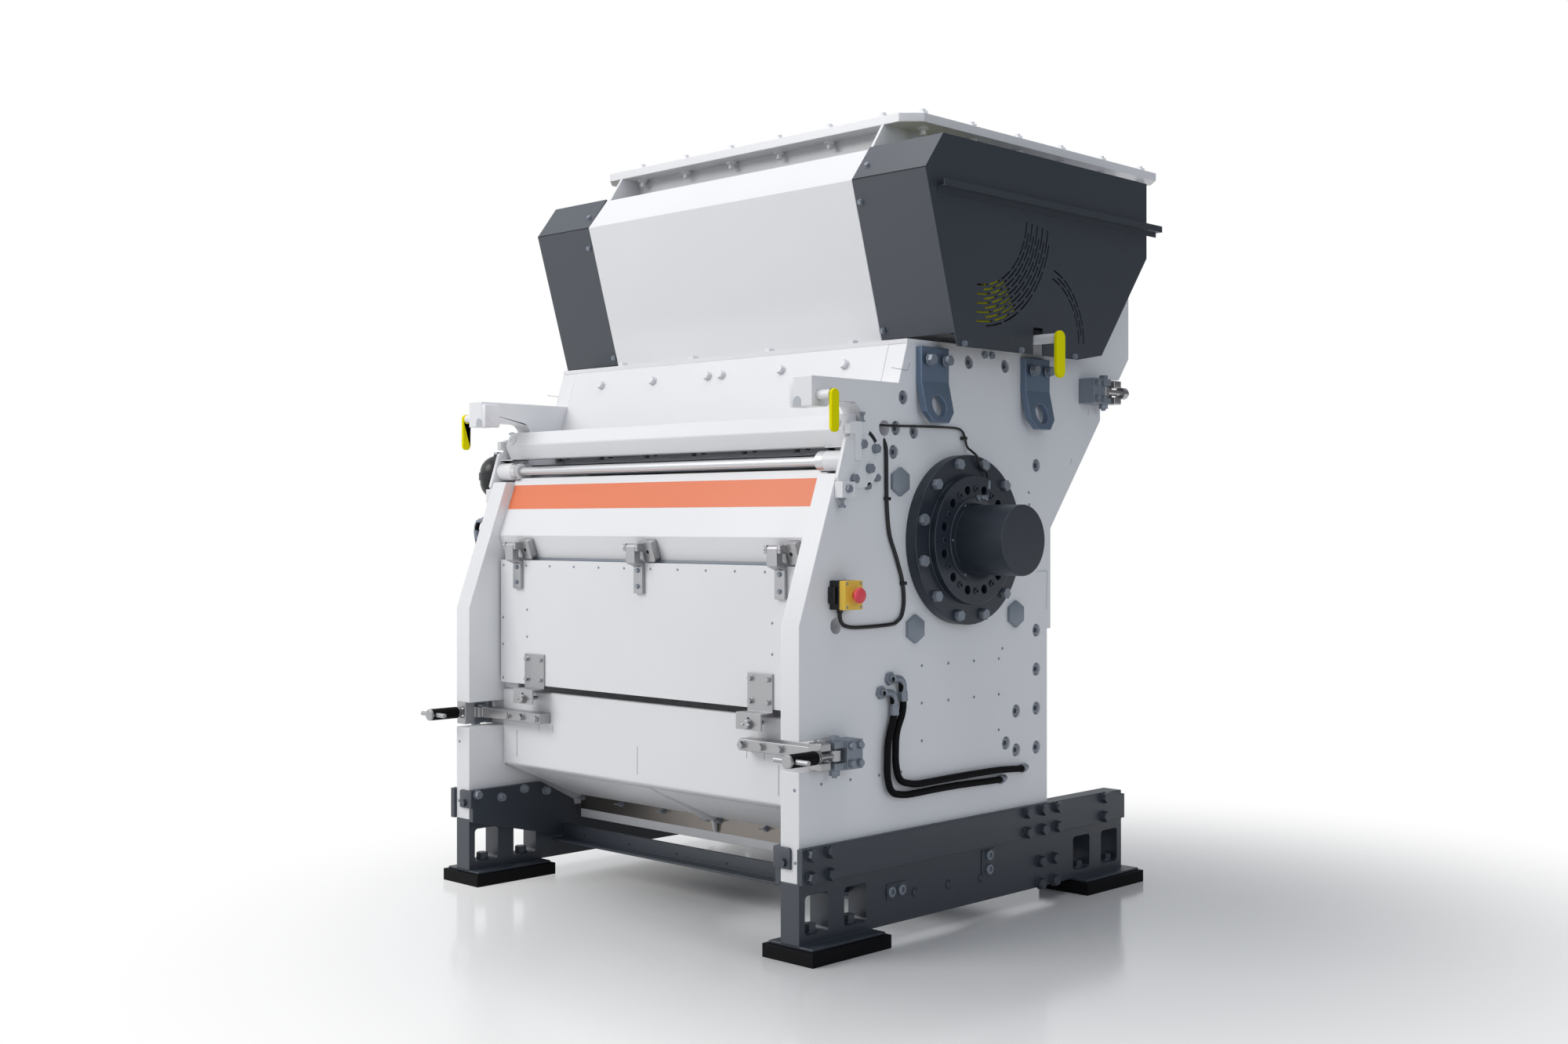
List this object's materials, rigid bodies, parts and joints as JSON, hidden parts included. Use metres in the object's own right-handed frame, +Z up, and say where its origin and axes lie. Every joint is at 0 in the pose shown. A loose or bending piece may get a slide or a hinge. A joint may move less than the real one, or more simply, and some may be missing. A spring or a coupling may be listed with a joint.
{
  "type": "fine shredder",
  "caption": "Single-rotor fine shredder with thick side plates, flanged hopper, hinged inspection flap, swing-bolt clamps and a discharge under the rotor.",
  "frame": {"origin": "on the floor under the centre of the machine's bounding box", "axes": "+X towards the side with the emergency stop, -Y towards the front with the inspection flap, +Z up"},
  "size_m": [2.024, 1.997, 2.394],
  "materials": {
    "white_paint": "semi-gloss white paint",
    "slate_paint": "satin blue-grey paint",
    "machined_dark": "satin dark grey paint on turned steel",
    "stainless": "brushed stainless steel",
    "zinc_grey": "dull zinc-plated steel",
    "bright_tube": "polished",
    "rotor_steel": "worn bare steel",
    "black_rubber": "matt",
    "black_plastic": "matt",
    "yellow_plastic": "satin",
    "yellow_paint": "gloss yellow paint",
    "red_plastic": "satin"
  },
  "bodies": {
    "machine": {"anvil_beam": "white_paint", "base_rails": "slate_paint", "base_side_left": "slate_paint", "base_side_right": "slate_paint", "bearing_flange_left": "machined_dark", "bearing_flange_right": "machined_dark", "cables": "black_plastic", "chute_bar": "white_paint", "clamp_bars": "stainless", "clamp_clevises": "zinc_grey", "cross_beams": "slate_paint", "discharge_chute": "white_paint", "foot_pads": "black_rubber", "front_cover": "white_paint", "front_door": "white_paint", "hinge_blocks": "stainless", "hopper_front_wall": "white_paint", "hopper_rear_wall": "white_paint", "hopper_sill": "white_paint", "hopper_wall_left": "white_paint", "hopper_wall_right": "white_paint", "hydraulic_hoses": "black_rubber", "infeed_flange": "white_paint", "inner_plates": "slate_paint", "lifting_lugs": "zinc_grey", "lower_panel": "white_paint", "pivot_disc_left": "white_paint", "pivot_disc_right": "white_paint", "pivot_tube": "bright_tube", "pressure_tank": "black_plastic", "rear_hatch": "white_paint", "rear_wall": "white_paint", "screen": "rotor_steel", "sealing_strip": "stainless", "shoulder_panel": "white_paint", "side_guard_left": "slate_paint", "side_guard_right": "slate_paint", "side_plate_left": "white_paint", "side_plate_right": "white_paint", "stop_base": "black_plastic", "stop_lid": "yellow_plastic", "swing_levers": "yellow_paint", "top_beam": "white_paint"},
    "rotor": {"rotor": "rotor_steel"},
    "flap": {"inspection_flap": "white_paint", "hinge_straps": "stainless", "latch_brackets": "stainless"},
    "front_left_bolt": {"swing_bolt_front_left": "stainless"},
    "front_right_bolt": {"swing_bolt_front_right": "stainless"},
    "rear_left_bolt": {"swing_bolt_rear_left": "stainless"},
    "rear_right_bolt": {"swing_bolt_rear_right": "stainless"},
    "button": {"stop_button": "red_plastic"},
    "left_arm_pin": {"arm_pin_left": "yellow_paint"},
    "right_arm_pin": {"arm_pin_right": "yellow_paint"},
    "left_guard_pin": {"guard_pin_left": "yellow_paint"},
    "right_guard_pin": {"guard_pin_right": "yellow_paint"}
  },
  "joints": [
    {"name": "rotor_spin", "type": "hinge", "parent": "machine", "child": "rotor", "pos_m": [0, -0.2285, 1.132], "axis": [1, 0, 0], "continuous": true},
    {"name": "flap_swing", "type": "hinge", "parent": "machine", "child": "flap", "pos_m": [0, -0.8285, 1.108], "axis": [-1, 0, 0], "range_deg": [0, 100]},
    {"name": "front_left_clamp_swing", "type": "hinge", "parent": "machine", "child": "front_left_bolt", "pos_m": [-0.815, -0.8165, 0.553], "axis": [0, 0, -1], "range_deg": [0, 90]},
    {"name": "front_right_clamp_swing", "type": "hinge", "parent": "machine", "child": "front_right_bolt", "pos_m": [0.815, -0.8165, 0.553], "axis": [0, 0, 1], "range_deg": [0, 90]},
    {"name": "rear_left_clamp_swing", "type": "hinge", "parent": "machine", "child": "rear_left_bolt", "pos_m": [-0.815, 0.4675, 1.605], "axis": [0, 0, 1], "range_deg": [0, 90]},
    {"name": "rear_right_clamp_swing", "type": "hinge", "parent": "machine", "child": "rear_right_bolt", "pos_m": [0.815, 0.4675, 1.605], "axis": [0, 0, -1], "range_deg": [0, 90]},
    {"name": "stop_press", "type": "slide", "parent": "machine", "child": "button", "axis": [-1, 0, 0], "range_m": [0, 0.005]},
    {"name": "left_arm_pin_pull", "type": "slide", "parent": "machine", "child": "left_arm_pin", "axis": [-1, 0, 0], "range_m": [0, 0.06]},
    {"name": "right_arm_pin_pull", "type": "slide", "parent": "machine", "child": "right_arm_pin", "axis": [1, 0, 0], "range_m": [0, 0.06]},
    {"name": "left_guard_pin_pull", "type": "slide", "parent": "machine", "child": "left_guard_pin", "axis": [-1, 0, 0], "range_m": [0, 0.045]},
    {"name": "right_guard_pin_pull", "type": "slide", "parent": "machine", "child": "right_guard_pin", "axis": [1, 0, 0], "range_m": [0, 0.045]}
  ]
}
